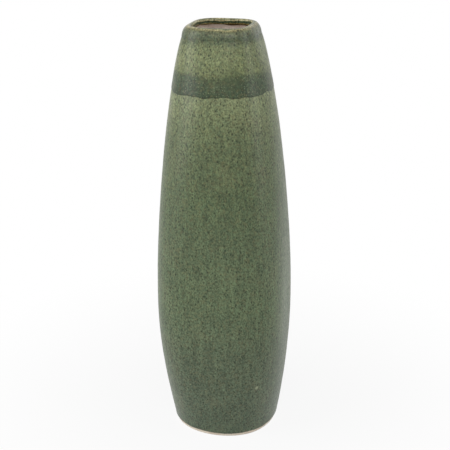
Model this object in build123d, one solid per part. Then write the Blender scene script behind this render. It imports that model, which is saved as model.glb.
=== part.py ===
from build123d import *
import os
from math import cos, pi, sin

# Stoneware vase: a slender barrel with a rounded-square plan, a narrow mouth and a bare foot.
# Millimetres, +Z up. The origin is the centre of the foot, on the surface that the vase stands on.
# The flat sides of the plan face X and Y, and its corners lie on the diagonals.

# ---- Outside form ----
HEIGHT = 300.0
BELLY_WIDTH = 93.8
BELLY_HEIGHT = 96.5
FOOT_WIDTH = 77.4
MOUTH_WIDTH = 45.0
# The part of the narrowing that happens in the last stretch, where the wall turns in to the mouth.
SHOULDER_TUCK = 6.1
# How far below the top the plan is roundest.
SHOULDER_DROP = 38.0

# Exponents of the three curves of the side: foot to belly, belly to mouth, and the turn-in.
FOOT_CURVE = 2.3
LEAN_CURVE = 2.0
TUCK_CURVE = 8.0

# Squareness of the plan at four heights: 0 is a circle, and 1/17 has dead flat sides.
FOOT_SQUARENESS = 0.014
BELLY_SQUARENESS = 0.056
SHOULDER_SQUARENESS = 0.017
MOUTH_SQUARENESS = 0.066

# ---- Clay ----
WALL = 5.0
FOOT_WALL = 8.0
FOOT_TAPER_LENGTH = 40.0
LIP_WALL = 3.3
LIP_TAPER_LENGTH = 45.0
FLOOR = 7.0
FOOT_RING_WIDTH = 8.0
FOOT_RECESS_DEPTH = 2.0
FOOT_EDGE_RADIUS = 0.8
# Radii of the lip's two rounds, as shares of its thickness. The wall leans in, so the inner is smaller.
LIP_OUTER_ROUND = 0.9
LIP_INNER_ROUND = 0.24

# ---- Glaze coats ----
GLAZE = 0.5
LAP_GLAZE = 0.3
RING_GLAZE = 0.25
THROAT_GLAZE = 0.4
# Height of the strip that is wiped bare above the foot.
FOOT_LINE = 2.4

# Drops from the top of the vase to the edges of the coats.
BAND_BOTTOM_DROP = 42.8
BAND_TOP_DROP = 28.0
RING_BOTTOM_DROP = 8.5
LIP_EDGE_DROP = 3.6
THROAT_DROP = 5.5

# ---- Lofting ----
SECTIONS = 25
POINTS_PER_SECTION = 40


def blend(start, end, share):
    """Goes smoothly from start to end as share goes from 0 to 1."""
    share = min(max(share, 0.0), 1.0)
    return start + (end - start) * share * share * (3 - 2 * share)


def half_width(z):
    """Half the outside width at height z, from the middle to a flat side."""
    belly = BELLY_WIDTH / 2
    if z <= BELLY_HEIGHT:
        fall = (BELLY_HEIGHT - z) / BELLY_HEIGHT
        return belly - (belly - FOOT_WIDTH / 2) * fall ** FOOT_CURVE
    rise = (z - BELLY_HEIGHT) / (HEIGHT - BELLY_HEIGHT)
    lean = belly - MOUTH_WIDTH / 2 - SHOULDER_TUCK
    return belly - lean * rise ** LEAN_CURVE - SHOULDER_TUCK * rise ** TUCK_CURVE


def squareness(z):
    """Squareness of the plan at height z."""
    shoulder = HEIGHT - SHOULDER_DROP
    if z <= BELLY_HEIGHT:
        return blend(FOOT_SQUARENESS, BELLY_SQUARENESS, z / BELLY_HEIGHT)
    if z <= shoulder:
        share = (z - BELLY_HEIGHT) / (shoulder - BELLY_HEIGHT)
        return blend(BELLY_SQUARENESS, SHOULDER_SQUARENESS, share)
    return blend(SHOULDER_SQUARENESS, MOUTH_SQUARENESS, (z - shoulder) / SHOULDER_DROP)


def section(z, inset):
    """Rounded-square outline at height z, inset from the outside form."""
    square = squareness(z)
    points = []
    for i in range(POINTS_PER_SECTION):
        angle = 2 * pi * i / POINTS_PER_SECTION
        reach = half_width(z) * (1 - square * cos(4 * angle)) / (1 - square) - inset
        points.append(Vector(reach * cos(angle), reach * sin(angle), z))
    knots = [float(i) for i in range(POINTS_PER_SECTION + 1)]
    return Wire([Edge.make_spline(points, periodic=True, parameters=knots)])


def form(inset_at):
    """Full-height solid that lies inset_at(z) inside the outside form at each height z."""
    heights = [HEIGHT * i / (SECTIONS - 1) for i in range(SECTIONS)]
    return Solid.make_loft([section(z, inset_at(z)) for z in heights])


def slab(bottom, top):
    """Block wider than the vase, between two heights."""
    side = 2 * BELLY_WIDTH
    return Pos(0, 0, bottom) * Box(side, side, top - bottom, align=(Align.CENTER, Align.CENTER, Align.MIN))


def round_lip(solid, thickness):
    """Rounds the two edges of the level ring on top of a wall of that thickness."""
    outer_edge = solid.edges().group_by(Axis.Z)[-1].sort_by(Edge.length)[-1]
    solid = fillet(outer_edge, LIP_OUTER_ROUND * thickness)
    inner_edge = solid.edges().group_by(Axis.Z)[-1].sort_by(Edge.length)[0]
    return fillet(inner_edge, LIP_INNER_ROUND * thickness)


def wall_at(z):
    """Thickness of the clay wall at height z: thicker at the floor and thinner at the lip."""
    if z < FLOOR + FOOT_TAPER_LENGTH:
        return blend(FOOT_WALL, WALL, (z - FLOOR) / FOOT_TAPER_LENGTH)
    return blend(LIP_WALL, WALL, (HEIGHT - z) / LIP_TAPER_LENGTH)


def inner_inset(z):
    """From the outside form to the inside face of the clay."""
    return GLAZE + wall_at(z)


def throat_inset(z):
    """From the outside form to the face of the glaze inside the mouth."""
    return inner_inset(z) + THROAT_GLAZE


def coat(outside, bottom, top):
    """Skin between the clay and the solid outside, from one height to another."""
    return (outside & slab(bottom, top)) - CLAY_FORM


# Solids that the pieces share, so that a coat and what it covers meet on one surface.
OUTSIDE_FORM = form(lambda z: 0.0)
CLAY_FORM = form(lambda z: GLAZE)
LAP_FORM = form(lambda z: -LAP_GLAZE)
RING_FORM = form(lambda z: -RING_GLAZE)
INNER_FORM = form(inner_inset)
THROAT_FORM = form(throat_inset)


def clay_body():
    """Wall, floor and foot ring in one piece, with a rounded lip and a shallow recess below."""
    crest = HEIGHT - GLAZE
    recess = form(lambda z: GLAZE + FOOT_RING_WIDTH) & slab(0, FOOT_RECESS_DEPTH)
    clay = (CLAY_FORM & slab(0, crest)) - (INNER_FORM & slab(FLOOR, HEIGHT)) - recess
    clay = round_lip(clay, LIP_WALL)
    return fillet(clay.edges().group_by(Axis.Z)[0], FOOT_EDGE_RADIUS)


def lip_glaze(clay):
    """Cap of glaze over the rounded lip, down to its edge outside and inside."""
    cap = (OUTSIDE_FORM - THROAT_FORM) & slab(HEIGHT - LIP_EDGE_DROP, HEIGHT)
    return round_lip(cap, GLAZE + LIP_WALL + THROAT_GLAZE) - clay


def throat_glaze():
    """Skin of glaze inside the mouth, below the lip's cap."""
    return (INNER_FORM - THROAT_FORM) & slab(HEIGHT - THROAT_DROP, HEIGHT - LIP_EDGE_DROP)


def body_glaze():
    """First dip: from the foot line to the top of the band, where the second dip covers it."""
    return coat(OUTSIDE_FORM, FOOT_LINE, HEIGHT - BAND_TOP_DROP)


def shoulder_band():
    """Second dip where it laps over the first, so the glaze stands proud there."""
    return (LAP_FORM & slab(HEIGHT - BAND_BOTTOM_DROP, HEIGHT - BAND_TOP_DROP)) - OUTSIDE_FORM


def neck_glaze():
    """Second dip on the clay itself, between the band and the ring."""
    return coat(OUTSIDE_FORM, HEIGHT - BAND_TOP_DROP, HEIGHT - RING_BOTTOM_DROP)


def lip_ring():
    """Roll of glaze that gathers below the lip."""
    return coat(RING_FORM, HEIGHT - RING_BOTTOM_DROP, HEIGHT - LIP_EDGE_DROP)


clay = clay_body()
pieces = {
    "clay_body": clay,
    "body_glaze": body_glaze(),
    "shoulder_band": shoulder_band(),
    "neck_glaze": neck_glaze(),
    "lip_ring": lip_ring(),
    "lip_glaze": lip_glaze(clay),
    "throat_glaze": throat_glaze(),
}

os.makedirs("parts", exist_ok=True)
for name, solid in pieces.items():
    export_step(solid, f"parts/{name}.step")
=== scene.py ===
import bpy
from math import cos, radians, sin
from mathutils import Matrix, Vector


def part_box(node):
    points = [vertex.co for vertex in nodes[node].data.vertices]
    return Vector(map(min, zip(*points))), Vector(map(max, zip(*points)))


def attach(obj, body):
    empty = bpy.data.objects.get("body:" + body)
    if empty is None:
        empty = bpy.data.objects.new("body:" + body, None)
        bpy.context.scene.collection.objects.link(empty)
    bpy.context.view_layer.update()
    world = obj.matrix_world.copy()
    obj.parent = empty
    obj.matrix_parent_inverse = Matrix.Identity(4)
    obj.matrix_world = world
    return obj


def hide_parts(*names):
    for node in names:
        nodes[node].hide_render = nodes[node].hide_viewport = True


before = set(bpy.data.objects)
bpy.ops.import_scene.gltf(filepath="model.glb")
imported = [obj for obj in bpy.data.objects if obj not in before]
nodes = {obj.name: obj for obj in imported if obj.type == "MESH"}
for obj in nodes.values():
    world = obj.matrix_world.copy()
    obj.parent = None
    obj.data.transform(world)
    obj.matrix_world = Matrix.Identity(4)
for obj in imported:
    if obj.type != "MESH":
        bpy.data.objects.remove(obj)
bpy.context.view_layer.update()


# ---- Camera ----
# A short telephoto lens on a stand, looking a little down on the vase from its front right.
# It is far enough back for the sides to stay near upright, with a slight tilt of the head.

CAMERA_DISTANCE = 0.6209
CAMERA_HEIGHT = 0.4035
CAMERA_AZIMUTH = radians(15.64)
CAMERA_AIM_HEIGHT = 0.1549
CAMERA_LENS_MM = 73.77
CAMERA_SENSOR_MM = 36.0
CAMERA_ROLL = radians(-0.73)
CAMERA_SHIFT = 0.0012

camera_data = bpy.data.cameras.new("camera")
camera_data.lens = CAMERA_LENS_MM
camera_data.sensor_width = CAMERA_SENSOR_MM
camera_data.shift_x = CAMERA_SHIFT
camera = bpy.data.objects.new("camera", camera_data)
bpy.context.scene.collection.objects.link(camera)
camera.location = (
    CAMERA_DISTANCE * sin(CAMERA_AZIMUTH),
    -CAMERA_DISTANCE * cos(CAMERA_AZIMUTH),
    CAMERA_HEIGHT,
)
sight = Vector((0, 0, CAMERA_AIM_HEIGHT)) - camera.location
turn = sight.to_track_quat("-Z", "Y").to_matrix() @ Matrix.Rotation(CAMERA_ROLL, 3, "Z")
camera.rotation_euler = turn.to_euler()
bpy.context.scene.camera = camera
bpy.context.scene.view_settings.view_transform = "Standard"


# ---- Lamps and room ----
# Two tall softboxes at the sides and a wide one in front, above the lens, in a small pale studio.
# The left one is the strongest, and both sides of the vase are lighter than its middle.

LAMP_DISTANCE = 1.2
# Light that the walls of the room throw on the vase, where 1 is full white.
ROOM_LIGHT = 0.17


def softbox(name, azimuth, elevation, width, height, power):
    """Rectangular area lamp that faces the middle of the vase. Azimuth 0 is the vase's front."""
    data = bpy.data.lights.new(name, "AREA")
    data.shape = "RECTANGLE"
    data.size = width
    data.size_y = height
    data.energy = power
    lamp = bpy.data.objects.new(name, data)
    bpy.context.scene.collection.objects.link(lamp)
    a, e = radians(azimuth), radians(elevation)
    spot = Vector((sin(a) * cos(e), -cos(a) * cos(e), sin(e)))
    lamp.location = Vector((0, 0, CAMERA_AIM_HEIGHT)) + LAMP_DISTANCE * spot
    lamp.rotation_euler = (-spot).to_track_quat("-Z", "Y").to_euler()


def srgb(code):
    """Linear colour, with alpha 1, from an sRGB hex value."""
    channels = [int(code[i:i + 2], 16) / 255 for i in (1, 3, 5)]
    return tuple(c / 12.92 if c <= 0.04045 else ((c + 0.055) / 1.055) ** 2.4 for c in channels) + (1,)


def add_node(tree, kind, values=None, links=None, stops=None, **fields):
    """Adds a node with its fields, the values of its inputs, and the sockets that feed its inputs.
    A colour ramp also takes its stops: pairs of a place and a hex colour, the first at place 0."""
    node = tree.nodes.new(kind)
    for key, value in fields.items():
        setattr(node, key, value)
    for key, value in (values or {}).items():
        node.inputs[key].default_value = value
    for key, socket in (links or {}).items():
        tree.links.new(socket, node.inputs[key])
    if stops:
        ramp = node.color_ramp.elements
        ramp.remove(ramp[1])
        ramp[0].color = srgb(stops[0][1])
        for place, code in stops[1:]:
            ramp.new(place).color = srgb(code)
    return node


def seen_directly(tree):
    """1 for what the lens sees, directly or in a gloss or through glass, and 0 for light on things."""
    path = add_node(tree, "ShaderNodeLightPath")
    either = add_node(tree, "ShaderNodeMath", operation="MAXIMUM", links={
        0: path.outputs["Is Camera Ray"], 1: path.outputs["Is Glossy Ray"]})
    both = add_node(tree, "ShaderNodeMath", operation="MAXIMUM", links={
        0: either.outputs[0], 1: path.outputs["Is Transmission Ray"]})
    return both.outputs[0]


softbox("left_softbox", azimuth=-57, elevation=22, width=0.7, height=1.1, power=7.4)
softbox("right_softbox", azimuth=86, elevation=18, width=0.5, height=1.1, power=3.8)
softbox("front_softbox", azimuth=16, elevation=38, width=0.9, height=0.5, power=3.4)

world = bpy.data.worlds.new("studio")
bpy.context.scene.world = world
world.use_nodes = True
room = world.node_tree
strength = add_node(room, "ShaderNodeMapRange", values={"To Min": ROOM_LIGHT, "To Max": 1.0},
                    links={"Value": seen_directly(room)})
room.nodes["Background"].inputs["Color"].default_value = (1, 1, 1, 1)
room.links.new(strength.outputs[0], room.nodes["Background"].inputs["Strength"])


# ---- Floor ----
# A sheet of matt white paper, large enough to fill the view.
# It takes the soft shadow of the foot, and further out it is plain white.

PAPER_SIZE = 12
# The paper lies a tenth of a millimetre low, so that it and the foot never share one surface.
PAPER_DROP = 0.0001
# How far from the middle the paper starts to turn plain white, and where it is fully so.
SHADOW_START = 0.03
SHADOW_END = 0.30
# Share of plain white that is mixed into the paper at the foot.
PAPER_LIFT = 0.90


def white_paper():
    """Matt white paper. Seen by the lens it is lifted most of the way to white round the foot, where
    it shows the soft shadow, and all the way further out."""
    material = bpy.data.materials.new("white_paper")
    material.use_nodes = True
    tree = material.node_tree
    matt = tree.nodes["Principled BSDF"]
    matt.inputs["Base Color"].default_value = srgb("#f2f2f2")
    matt.inputs["Roughness"].default_value = 0.9
    matt.inputs["Specular IOR Level"].default_value = 0.0
    glow = add_node(tree, "ShaderNodeEmission", values={"Color": (1, 1, 1, 1), "Strength": 1.0})
    place = add_node(tree, "ShaderNodeTexCoord").outputs["Object"]
    away = add_node(tree, "ShaderNodeVectorMath", operation="LENGTH", links={0: place})
    fade = add_node(tree, "ShaderNodeMapRange", interpolation_type="SMOOTHSTEP",
                    links={"Value": away.outputs["Value"]},
                    values={"From Min": SHADOW_START, "From Max": SHADOW_END,
                            "To Min": PAPER_LIFT, "To Max": 1.0})
    lift = add_node(tree, "ShaderNodeMath", operation="MULTIPLY",
                    links={0: seen_directly(tree), 1: fade.outputs[0]})
    mix = add_node(tree, "ShaderNodeMixShader", links={
        0: lift.outputs[0], 1: matt.outputs[0], 2: glow.outputs[0]})
    tree.links.new(mix.outputs[0], tree.nodes["Material Output"].inputs["Surface"])
    return material


bpy.ops.object.select_all(action="DESELECT")
bpy.ops.mesh.primitive_plane_add(size=PAPER_SIZE, location=(0, 0, -PAPER_DROP))
floor = bpy.context.object
floor.name = "floor"
floor.data.materials.append(white_paper())


# ---- Clay ----
# The wall, floor and foot ring are one piece of buff stoneware, fired at about 1250 degrees.
# It is bare inside and on the foot, where it was sponged smooth, so it is matt with a fine grit.

# The CAD mesh is triangles whose points repeat where its faces meet, so points this close are joined.
WELD_DISTANCE = 0.000002


def only(piece):
    """Leaves just this piece selected and active."""
    bpy.ops.object.select_all(action="DESELECT")
    piece.select_set(True)
    bpy.context.view_layer.objects.active = piece


def paint(tree, colour, layers):
    """Lays tints over a colour, one after another. A layer has its pattern, the two values of the
    pattern between which the tint comes in, its hex colour, and its share where it is full."""
    for pattern, start, full, code, share in layers:
        amount = add_node(tree, "ShaderNodeMapRange", links={"Value": pattern},
                          values={"From Min": start, "From Max": full, "To Max": share})
        mix = add_node(tree, "ShaderNodeMix", data_type="RGBA", values={7: srgb(code)},
                       links={0: amount.outputs[0], 6: colour})
        colour = mix.outputs[2]
    return colour


def bare_stoneware():
    """Buff stoneware, fired and unglazed. It is rough and matt, pinkish where it is bare inside, cream
    where the foot was sponged, and toasted orange at the edge of the glaze. Inside, the clay is painted
    lighter than its own pinkish beige, and more so towards the rim, as painted light falling in through
    the mouth."""
    material = bpy.data.materials.new("bare_stoneware")
    material.use_nodes = True
    tree = material.node_tree
    shader = tree.nodes["Principled BSDF"]
    place = add_node(tree, "ShaderNodeTexCoord").outputs["Object"]
    height = add_node(tree, "ShaderNodeSeparateXYZ", links={0: place}).outputs["Z"]
    share_up = add_node(tree, "ShaderNodeMapRange", links={"Value": height},
                        values={"From Min": 0.0, "From Max": 0.300})
    # Painted light: the stops from 0.6 up to the rim paint the inside wall lighter than the clay's own
    # colour, standing in for the light that falls in through the mouth.
    clay_tone_and_painted_light = add_node(tree, "ShaderNodeValToRGB", links={0: share_up.outputs[0]}, stops=[
        (0.0, "#fbf3e6"), (0.008, "#f8ead5"), (0.013, "#e6bf90"), (0.018, "#d8b590"),
        (0.6, "#e2c9b6"), (1.0, "#fbeadd")])
    # The clay's own grain is 0.1 to 0.3 mm, drawn at 1 mm so that it shows.
    grit = add_node(tree, "ShaderNodeTexNoise", links={"Vector": place},
                    values={"Scale": 1000, "Detail": 2.0}).outputs[0]
    # Blushes of about a centimetre, where the kiln's flame touched it.
    blush = add_node(tree, "ShaderNodeTexNoise", links={"Vector": place},
                     values={"Scale": 90, "Detail": 3.0}).outputs[0]
    colour = paint(tree, clay_tone_and_painted_light.outputs[0], [
        (blush, 0.50, 0.75, "#c8a68f", 0.50),
        (grit, 0.62, 0.75, "#a08470", 0.45),
        (grit, 0.38, 0.25, "#e6d8c6", 0.50),
    ])
    tree.links.new(colour, shader.inputs["Base Color"])
    # Finger ridges about 5 mm apart go round the wall, and turning lines under it, drawn
    # 3.5 mm apart where the real ones are finer.
    ridges = add_node(tree, "ShaderNodeTexWave", wave_type="BANDS", bands_direction="Z",
                      links={"Vector": place}, values={"Scale": 62, "Distortion": 1.5, "Detail": 1.0})
    lines = add_node(tree, "ShaderNodeTexWave", wave_type="RINGS", rings_direction="Z",
                     links={"Vector": place}, values={"Scale": 90, "Distortion": 0.6})
    soft = add_node(tree, "ShaderNodeBump", links={"Height": ridges.outputs["Fac"]},
                    values={"Strength": 0.35, "Distance": 0.0006})
    turned = add_node(tree, "ShaderNodeBump",
                      links={"Height": lines.outputs["Fac"], "Normal": soft.outputs[0]},
                      values={"Strength": 0.15, "Distance": 0.0002})
    rough = add_node(tree, "ShaderNodeBump", links={"Height": grit, "Normal": turned.outputs[0]},
                     values={"Strength": 0.5, "Distance": 0.0002})
    tree.links.new(rough.outputs[0], shader.inputs["Normal"])
    shader.inputs["Roughness"].default_value = 0.88
    shader.inputs["IOR"].default_value = 1.45
    return material


clay = nodes["clay_body"].copy()
clay.data = nodes["clay_body"].data.copy()
clay.name = "clay_wall"
clay.parent = None
bpy.context.scene.collection.objects.link(clay)
only(clay)
bpy.ops.object.mode_set(mode="EDIT")
bpy.ops.mesh.select_all(action="SELECT")
bpy.ops.mesh.remove_doubles(threshold=WELD_DISTANCE)
bpy.ops.object.mode_set(mode="OBJECT")
bpy.ops.object.shade_smooth_by_angle(angle=radians(35))
clay.data.materials.clear()
clay.data.materials.append(bare_stoneware())
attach(clay, "root")
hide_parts("clay_body")


# ---- First dip ----
# The pot was held by its top and dipped foot first in a green stoneware glaze, then wiped at the foot.
# The coat is half a millimetre thick, with a soft raised edge at the foot line.

GLAZE = 0.0005
# A coat starts as an open tube, wider than the belly, with this many points round it.
COLUMNS = 192
TUBE_RADIUS = 0.056
# Heights closer together than this are level.
SAME_HEIGHT = 0.00001
# A placed spot is found from this far off the vase's axis, well outside the clay.
SPOT_START = 0.1
# The sponge took the glaze off this far above the lowest line of the coat.
WIPED = 0.0006
# How far the first dip runs on under the second.
LAP = 0.010
# Height over which the foot line's wave dies away, and the wave's width and height.
FOOT_WAVE_REACH = 0.006
FOOT_WAVE_SIZE = 0.012
FOOT_WAVE = 0.0009
# Soft unevenness of the coat, by its width and depth.
COAT_WAVE_SIZE = 0.020
COAT_WAVE = 0.00022

foot_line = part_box("body_glaze")[0][2] + WIPED
band_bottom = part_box("shoulder_band")[0][2]
lip_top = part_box("lip_glaze")[1][2]


def finish_with(piece, kind, **settings):
    """Adds a modifier and applies it."""
    only(piece)
    modifier = piece.modifiers.new(kind.lower(), kind)
    for key, value in settings.items():
        setattr(modifier, key, value)
    bpy.ops.object.modifier_apply(modifier=modifier.name)


def cut_rows(piece, cuts):
    """Cuts the upright edges of a tube into even rows."""
    points = piece.data.vertices
    only(piece)
    bpy.ops.object.mode_set(mode="EDIT")
    bpy.ops.mesh.select_mode(type="EDGE")
    bpy.ops.mesh.select_all(action="DESELECT")
    bpy.ops.object.mode_set(mode="OBJECT")
    for edge in piece.data.edges:
        start, end = (points[i].co.z for i in edge.vertices)
        edge.select = abs(end - start) > SAME_HEIGHT
    bpy.ops.object.mode_set(mode="EDIT")
    bpy.ops.mesh.subdivide(number_cuts=cuts)
    bpy.ops.object.mode_set(mode="OBJECT")


def tube(name, bottom, top, cuts):
    """Open upright tube of even quads, wider than the vase. It is cut into rows, and then each row is
    cut again."""
    bpy.ops.object.select_all(action="DESELECT")
    bpy.ops.mesh.primitive_cylinder_add(
        vertices=COLUMNS, radius=TUBE_RADIUS, depth=top - bottom,
        end_fill_type="NOTHING", location=(0, 0, (top + bottom) / 2),
    )
    piece = bpy.context.object
    piece.name = name
    bpy.ops.object.transform_apply(location=True, rotation=True, scale=True)
    for count in cuts:
        cut_rows(piece, count)
    return piece


def weigh(piece, name, weight_at):
    """Vertex group with a weight from 0 to 1, softened at its ends, for each point of a piece."""
    group = piece.vertex_groups.new(name=name)
    for point in piece.data.vertices:
        weight = min(max(weight_at(point.co), 0.0), 1.0)
        group.add([point.index], weight * weight * (3 - 2 * weight), "REPLACE")


def sway(piece, size, strength, group="", direction="NORMAL", middle=0.5):
    """Moves the points of a group, or of the whole piece, by a soft cloud pattern with features of
    about size metres."""
    pattern = bpy.data.textures.new(piece.name + "_" + direction.lower(), "CLOUDS")
    pattern.noise_scale = size
    pattern.noise_depth = 1
    finish_with(piece, "DISPLACE", texture=pattern, direction=direction, texture_coords="LOCAL",
                vertex_group=group, strength=strength, mid_level=middle)


def settle(piece, thickness, passes=8, group=""):
    """Lays a nearly fitting skin on the clay and irons out the marks of the clay's facets."""
    finish_with(piece, "SHRINKWRAP", target=clay, wrap_method="NEAREST_SURFACEPOINT",
                wrap_mode="ABOVE_SURFACE", offset=thickness, vertex_group=group)
    finish_with(piece, "SMOOTH", factor=0.5, iterations=passes, use_z=False)


def wrap(piece, thickness):
    """Draws a tube in onto the clay, so that its face stands proud of it by thickness."""
    finish_with(piece, "SHRINKWRAP", target=clay, wrap_method="PROJECT",
                use_negative_direction=True, use_positive_direction=False)
    finish_with(piece, "SMOOTH", factor=0.5, iterations=16, use_z=False)
    settle(piece, thickness)


def harden(piece, thickness):
    """Gives a skin its thickness, inwards, with a rounded rim."""
    piece.vertex_groups.clear()
    finish_with(piece, "SOLIDIFY", thickness=thickness, offset=-1)
    finish_with(piece, "BEVEL", width=thickness * 0.35, segments=2, limit_method="ANGLE",
                angle_limit=radians(50))
    only(piece)
    bpy.ops.object.shade_smooth_by_angle(angle=radians(60))


def way_over_lip(tree, where, height):
    """Distance from the top of the lip: below 0 on the outside of the mouth and above 0 inside it."""
    flat = add_node(tree, "ShaderNodeVectorMath", operation="MULTIPLY",
                    values={1: (1, 1, 0)}, links={0: where.outputs["Object"]})
    outward = add_node(tree, "ShaderNodeVectorMath", operation="NORMALIZE", links={0: flat.outputs[0]})
    facing = add_node(tree, "ShaderNodeVectorMath", operation="DOT_PRODUCT",
                      links={0: outward.outputs[0], 1: where.outputs["Normal"]})
    side = add_node(tree, "ShaderNodeMapRange", links={"Value": facing.outputs["Value"]},
                    values={"From Min": -0.15, "From Max": 0.15, "To Min": 1.0, "To Max": -1.0})
    drop = add_node(tree, "ShaderNodeMath", operation="SUBTRACT", values={0: lip_top}, links={1: height})
    return add_node(tree, "ShaderNodeMath", operation="MULTIPLY",
                    links={0: side.outputs[0], 1: drop.outputs[0]}).outputs[0]


def stoneware_glaze(name, zones, fleck, roughness=(0.32, 0.46), wander=0.0022, over_lip=False, spots=()):
    """Reduction-fired stoneware glaze, green from iron. It is a satin glass over the clay: colour goes
    with its thickness, from ochre where it is thin to blue-green where it is thick, and it is full of
    fine crystals and iron specks. Zones are heights, or distances over the lip, with their colours, and
    their borders wander. Fleck is the share of the pale flecks. A spot has an azimuth, a height, a
    radius, a hex colour and a share."""
    material = bpy.data.materials.new(name)
    material.use_nodes = True
    tree = material.node_tree
    shader = tree.nodes["Principled BSDF"]
    where = add_node(tree, "ShaderNodeTexCoord")
    place = where.outputs["Object"]
    height = add_node(tree, "ShaderNodeSeparateXYZ", links={0: place}).outputs["Z"]
    # The glaze ran a little as it melted, so its pattern is longer upright than across. The
    # location only picks which stretch of the pattern falls on the pot.
    run = add_node(tree, "ShaderNodeMapping", links={"Vector": place},
                   values={"Scale": (1, 1, 0.72), "Location": (0.31, 0.17, 0.0)}).outputs[0]
    streak = add_node(tree, "ShaderNodeMapping", links={"Vector": place},
                      values={"Scale": (1, 1, 0.10)}).outputs[0]
    # Crystals of about 1 mm, drawn coarser than the real ones so that they show, gather in tufts
    # of about 2 mm, in clouds of 20 mm, and in runs 2 to 3 mm wide.
    crystals = add_node(tree, "ShaderNodeTexNoise", links={"Vector": run},
                        values={"Scale": 980, "Detail": 1.5, "Roughness": 0.6}).outputs[0]
    tufts = add_node(tree, "ShaderNodeTexNoise", links={"Vector": place},
                     values={"Scale": 520, "Detail": 2.0, "Roughness": 0.55}).outputs[0]
    clouds = add_node(tree, "ShaderNodeTexNoise", links={"Vector": place},
                      values={"Scale": 48, "Detail": 3.0, "Roughness": 0.5}).outputs[0]
    runs = add_node(tree, "ShaderNodeTexNoise", links={"Vector": streak},
                    values={"Scale": 420, "Detail": 2.0, "Roughness": 0.5}).outputs[0]
    # Each zone's border wanders with the clouds, and a third as much with the tufts.
    level = way_over_lip(tree, where, height) if over_lip else height
    for pattern, reach in ((clouds, wander), (tufts, wander / 3)):
        shift = add_node(tree, "ShaderNodeMapRange", links={"Value": pattern}, values={
            "From Min": 0.25, "From Max": 0.75, "To Min": -reach, "To Max": reach})
        level = add_node(tree, "ShaderNodeMath", operation="ADD",
                         links={0: level, 1: shift.outputs[0]}).outputs[0]
    first, last = zones[0][0], zones[-1][0]
    share_along = add_node(tree, "ShaderNodeMapRange", links={"Value": level},
                           values={"From Min": first, "From Max": last})
    zone = add_node(tree, "ShaderNodeValToRGB", links={0: share_along.outputs[0]},
                    stops=[((at - first) / (last - first), code) for at, code in zones])
    colour = zone.outputs[0]
    # Each pattern makes the colour darker and lighter, between two greys and by a share.
    tones = (
        (crystals, 0.08, 0.92, 0.80),
        (runs, 0.20, 0.80, 0.40),
        (clouds, 0.30, 0.70, 0.30),
    )
    for pattern, dark, light, share in tones:
        tone = add_node(tree, "ShaderNodeMapRange", links={"Value": pattern}, values={
            "From Min": 0.25, "From Max": 0.75, "To Min": dark, "To Max": light})
        colour = add_node(tree, "ShaderNodeMix", data_type="RGBA", blend_type="OVERLAY",
                          values={0: share}, links={6: colour, 7: tone.outputs[0]}).outputs[2]
    layers = [
        (tufts, 0.52, 0.70, "#4f7058", 0.22),
        (tufts, 0.48, 0.30, "#8d8256", 0.24),
        (clouds, 0.55, 0.72, "#6e6148", 0.16),
    ]
    # Iron specks, about a millimetre across and 2 mm or so apart, and pale ones where a bubble healed.
    specks = (
        (400, 0.29, "#28321f", 0.85),
        (600, 0.26, "#354129", 0.65),
        (760, 0.26, "#a2ab86", fleck),
    )
    for fineness, reach, code, share in specks:
        cells = add_node(tree, "ShaderNodeTexVoronoi", links={"Vector": run}, values={"Scale": fineness})
        layers.append((cells.outputs["Distance"], reach, reach * 0.5, code, share))
    for azimuth, at, radius, code, share in spots:
        a = radians(azimuth)
        outside = Vector((SPOT_START * sin(a), -SPOT_START * cos(a), at))
        centre = clay.closest_point_on_mesh(outside)[1]
        away = add_node(tree, "ShaderNodeVectorMath", operation="DISTANCE",
                        values={1: centre}, links={0: place})
        layers.append((away.outputs["Value"], radius, radius * 0.4, code, share))
    tree.links.new(paint(tree, colour, layers), shader.inputs["Base Color"])
    gloss = add_node(tree, "ShaderNodeMapRange", links={"Value": tufts}, values={
        "From Min": 0.3, "From Max": 0.7, "To Min": roughness[0], "To Max": roughness[1]})
    tree.links.new(gloss.outputs[0], shader.inputs["Roughness"])
    skin = add_node(tree, "ShaderNodeBump", links={"Height": tufts},
                    values={"Strength": 0.5, "Distance": 0.0003})
    fine = add_node(tree, "ShaderNodeBump", links={"Height": crystals, "Normal": skin.outputs[0]},
                    values={"Strength": 0.35, "Distance": 0.00012})
    tree.links.new(fine.outputs[0], shader.inputs["Normal"])
    shader.inputs["IOR"].default_value = 1.5
    shader.inputs["Specular IOR Level"].default_value = 0.35
    return material


first_dip = tube("first_dip", foot_line, band_bottom + LAP, cuts=(11, 14))
weigh(first_dip, "edge", lambda at: 1 - abs(at.z - foot_line) / FOOT_WAVE_REACH)
sway(first_dip, FOOT_WAVE_SIZE, FOOT_WAVE, group="edge", direction="Z")
wrap(first_dip, GLAZE)
sway(first_dip, COAT_WAVE_SIZE, COAT_WAVE)
harden(first_dip, GLAZE)
first_dip.data.materials.append(stoneware_glaze("green_stoneware_glaze", [
    (0.000, "#3f4c39"), (0.0045, "#53614b"), (0.030, "#596650"), (0.070, "#5c6950"), (0.110, "#617051"),
    (0.155, "#5d6b4d"), (0.190, "#5a6848"), (0.218, "#616d4c"), (0.235, "#6b7653"), (0.250, "#7d8761"),
    (0.257, "#828b66"),
], fleck=0.25, spots=[(43.5, 0.0355, 0.0019, "#a9b08f", 0.8), (-15, 0.0385, 0.0010, "#a3a883", 0.8)]))
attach(first_dip, "root")
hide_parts("body_glaze")


# ---- Second dip ----
# The top was dipped again, mouth first, so a band laps over the first coat and stands proud of it.
# The band is thick and blue-green, and above it the single coat is thin and light olive.

OVERLAP_STEP = 0.0003
SECOND_SKIN = 0.0004
# The coat starts a hair below the band and ends this far up under the ring.
BAND_HEM = 0.0004
RING_COVER = 0.0025
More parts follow.
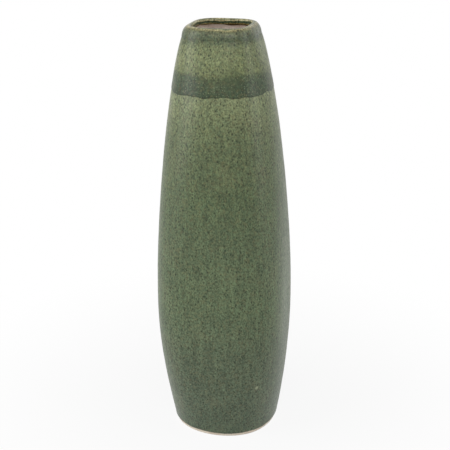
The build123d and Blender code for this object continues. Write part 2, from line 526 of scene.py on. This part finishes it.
# The wave of the band's lower edge: its reach, width and height.
BAND_WAVE_REACH = 0.008
BAND_WAVE_SIZE = 0.014
BAND_WAVE = 0.0032
# How far below the ring the coat has thinned to one dip.
NECK_MARGIN = 0.003
# Soft unevenness of the coat, by its width and depth.
NECK_WAVE_SIZE = 0.016
NECK_WAVE = 0.00018

band_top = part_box("shoulder_band")[1][2]
ring_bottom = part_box("lip_ring")[0][2]

second_dip = tube("second_dip", band_bottom - BAND_HEM, ring_bottom + RING_COVER, cuts=(5, 8))
weigh(second_dip, "edge", lambda at: 1 - abs(at.z - band_bottom) / BAND_WAVE_REACH)
sway(second_dip, BAND_WAVE_SIZE, BAND_WAVE, group="edge", direction="Z")
wrap(second_dip, GLAZE + OVERLAP_STEP)
weigh(second_dip, "neck", lambda at: (at.z - band_top) / (ring_bottom - NECK_MARGIN - band_top))
settle(second_dip, GLAZE, passes=4, group="neck")
sway(second_dip, NECK_WAVE_SIZE, NECK_WAVE)
harden(second_dip, SECOND_SKIN)
second_dip.data.materials.append(stoneware_glaze("lapped_stoneware_glaze", [
    (0.2560, "#37452f"), (0.2585, "#3f4d34"), (0.265, "#425037"), (0.2695, "#485639"), (0.2725, "#737c54"),
    (0.281, "#7b845c"), (0.2890, "#778059"), (0.2910, "#5a6445"), (0.2930, "#535e42"),
], fleck=0.5, spots=[(21, 0.283, 0.011, "#525c3c", 0.35)]))
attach(second_dip, "root")
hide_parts("shoulder_band", "neck_glaze")


# ---- Lip ----
# Glaze drew back from the rim in the fire and gathered in a thick roll below it, which hangs in drips.
# Over the rim it is thin, so it breaks to ochre, lit up by a painted highlight, and inside it pools and
# stops at a burnt brown edge.

LIP_SKIN = 0.00045
# The path over the lip: two rounds with a narrow flat between them, and the run down inside.
LIP_OUTER_ROUND = 0.0035
LIP_OUTER_STEPS = 6
LIP_INNER_ROUND = 0.0010
LIP_INNER_STEPS = 4
LIP_FLAT = 0.0002
RUN_INSIDE = 0.0036
RUN_STEPS = 9
# The rim of the tube, and the points inside the mouth, are found with these margins.
RIM_MARGIN = 0.0001
MOUTH_MARGIN = 0.0015
# The drips of the ring's lower edge: their reach, width and height.
DRIP_REACH = 0.004
DRIP_SIZE = 0.007
DRIP = 0.0040
# The wave of the edge inside: where it starts below the top, its reach, width and height.
RUN_START = 0.0015
RUN_REACH = 0.003
RUN_WAVE_SIZE = 0.012
RUN_WAVE = 0.0026
# The roll: it swells over the rise from its lower edge, and over the fall from a start just below
# the top of the lip. Then come the width of its lumps and how far they stand out.
RING_RISE = 0.0040
RING_START = 0.0005
RING_FALL = 0.003
RING_LUMP_SIZE = 0.010
RING_SWELL = 0.0007
# The lowest stretch of the roll is pulled in to meet the neck.
HEM_HEIGHT = 0.0015
RING_HEM = 0.00025

ring_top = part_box("lip_ring")[1][2]


def lip_path():
    """Steps that carry the coat's upper rim up, over the lip and down inside: a rise and an inset."""
    rounds = ((LIP_OUTER_ROUND, LIP_OUTER_STEPS, 0), (LIP_INNER_ROUND, LIP_INNER_STEPS, 90))
    for radius, steps, start in rounds:
        for i in range(steps):
            a, b = (radians(start + 90 * k / steps) for k in (i, i + 1))
            yield radius * (sin(b) - sin(a)), radius * (cos(a) - cos(b))
        if start == 0:
            yield 0.0, LIP_FLAT
    for i in range(RUN_STEPS):
        yield -RUN_INSIDE / RUN_STEPS, 0.0


lip_coat = tube("lip_coat", ring_bottom, ring_top, cuts=(2, 4))
weigh(lip_coat, "edge", lambda at: 1 - abs(at.z - ring_bottom) / DRIP_REACH)
sway(lip_coat, DRIP_SIZE, DRIP, group="edge", direction="Z")
wrap(lip_coat, GLAZE)
points = lip_coat.data.vertices
rim = [point.index for point in points if point.co.z > ring_top - RIM_MARGIN]
reach = sum(points[i].co.xy.length for i in rim) / len(rim)
only(lip_coat)
bpy.ops.object.mode_set(mode="EDIT")
bpy.ops.mesh.select_mode(type="VERT")
bpy.ops.mesh.select_all(action="DESELECT")
bpy.ops.object.mode_set(mode="OBJECT")
for i in rim:
    points[i].select = True
bpy.ops.object.mode_set(mode="EDIT")
for rise, inset in lip_path():
    bpy.ops.mesh.extrude_region_move(TRANSFORM_OT_translate={"value": (0, 0, rise)})
    shrink = (reach - inset) / reach
    bpy.ops.transform.resize(value=(shrink, shrink, 1), center_override=(0, 0, 0))
    reach -= inset
bpy.ops.object.mode_set(mode="OBJECT")
inside = reach + MOUTH_MARGIN


def run_weight(at):
    """1 low on the run inside the mouth, fading out up to the lip."""
    return (lip_top - RUN_START - at.z) / RUN_REACH if at.xy.length < inside else 0


def ring_weight(at):
    """1 along the middle of the roll, fading out below and above it."""
    if at.xy.length <= inside:
        return 0
    return min((at.z - ring_bottom) / RING_RISE, (lip_top - RING_START - at.z) / RING_FALL)


def hem_weight(at):
    """1 at the lower edge of the roll, fading out upwards."""
    return 1 - (at.z - ring_bottom) / HEM_HEIGHT if at.xy.length > inside else 0


weigh(lip_coat, "run", run_weight)
sway(lip_coat, RUN_WAVE_SIZE, RUN_WAVE, group="run", direction="Z")
settle(lip_coat, GLAZE, passes=2)
weigh(lip_coat, "ring", ring_weight)
sway(lip_coat, RING_LUMP_SIZE, RING_SWELL, group="ring", middle=0.0)
weigh(lip_coat, "hem", hem_weight)
finish_with(lip_coat, "DISPLACE", strength=-RING_HEM, mid_level=0.0, vertex_group="hem")
harden(lip_coat, LIP_SKIN)
# Over the crest, the cream stops at -0.0006 and 0.0009 are the ochre break painted lighter as a painted
# highlight, and the darker stop at 0.0001 on the top is painted shade.
lip_coat.data.materials.append(stoneware_glaze("ochre_glaze_and_painted_highlight", [
    (-0.0100, "#515a41"), (-0.0070, "#4c573e"), (-0.0048, "#566046"), (-0.0032, "#656c51"),
    (-0.0018, "#6f7556"), (-0.0010, "#948f65"), (-0.0006, "#c4bb8c"), (-0.0002, "#a3a37c"),
    (0.0001, "#6f7a59"), (0.0004, "#a5a176"), (0.0009, "#e2d8aa"), (0.0014, "#9a9a6e"),
    (0.0018, "#425744"), (0.0027, "#455842"), (0.0033, "#a08f58"), (0.0038, "#6f5228"),
    (0.0042, "#36250f"),
], fleck=0.35, roughness=(0.26, 0.40), wander=0.0010, over_lip=True,
    spots=[(12, 0.2960, 0.0022, "#6d4f3a", 0.7)]))
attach(lip_coat, "root")
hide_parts("lip_ring", "lip_glaze", "throat_glaze")
